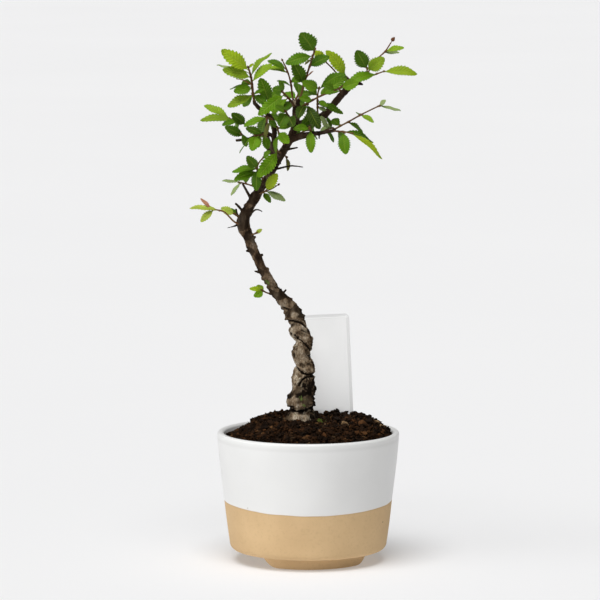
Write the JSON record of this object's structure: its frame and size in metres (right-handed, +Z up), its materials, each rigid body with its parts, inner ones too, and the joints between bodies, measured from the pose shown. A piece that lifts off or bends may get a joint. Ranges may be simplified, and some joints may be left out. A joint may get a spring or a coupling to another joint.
{
  "type": "bonsai tree",
  "caption": "Small curved elm bonsai with toothed leaves on fine shoots, rooted in mounded soil in a round footed ceramic pot, with a blank plant label behind the trunk.",
  "frame": {"origin": "on the ground under the middle of the whole plant, about 3 mm left of the pot's centre line", "axes": "+Z up, +X to the right as seen from the front, -Y to the front"},
  "size_m": [0.1363, 0.11, 0.3195],
  "materials": {
    "pot": "satin white glaze above, bare tan clay below",
    "soil": "loose dark crumbs",
    "drainage_mesh": "matte",
    "plant_label": "frosted",
    "bark": "rough",
    "leaves": "semi-gloss upper face",
    "young_leaves": "semi-gloss upper face"
  },
  "bodies": {
    "root": {"pot": "pot", "soil": "soil", "drainage_mesh": "drainage_mesh", "plant_label": "plant_label", "trunk": "bark", "crown_shoot": "leaves", "crown_left_shoot": "leaves", "upper_left_shoot": "leaves", "back_left_shoot": "leaves", "front_left_shoot": "leaves", "front_shoot": "leaves", "front_low_shoot": "leaves", "left_mid_shoot": "leaves", "left_low_shoot": "leaves", "far_left_shoot": "leaves", "far_left_low_shoot": "leaves", "centre_shoot": "leaves", "middle_shoot": "leaves", "right_top_shoot": "leaves", "right_inner_shoot": "leaves", "right_back_shoot": "leaves", "right_long_shoot": "leaves", "right_hanging_shoot": "leaves", "right_inner_low_shoot": "leaves", "hanging_shoot": "leaves", "back_low_shoot": "leaves", "back_shoot": "leaves", "lower_cluster_shoot": "leaves", "trunk_leaf_shoot": "leaves", "grey_twig_shoot": "leaves", "trunk_right_shoot": "leaves", "right_young_shoot": "young_leaves", "left_young_shoot": "young_leaves", "bud_shoot": "young_leaves", "low_left_shoot": "leaves", "low_right_shoot": "leaves"}
  },
  "joints": []
}
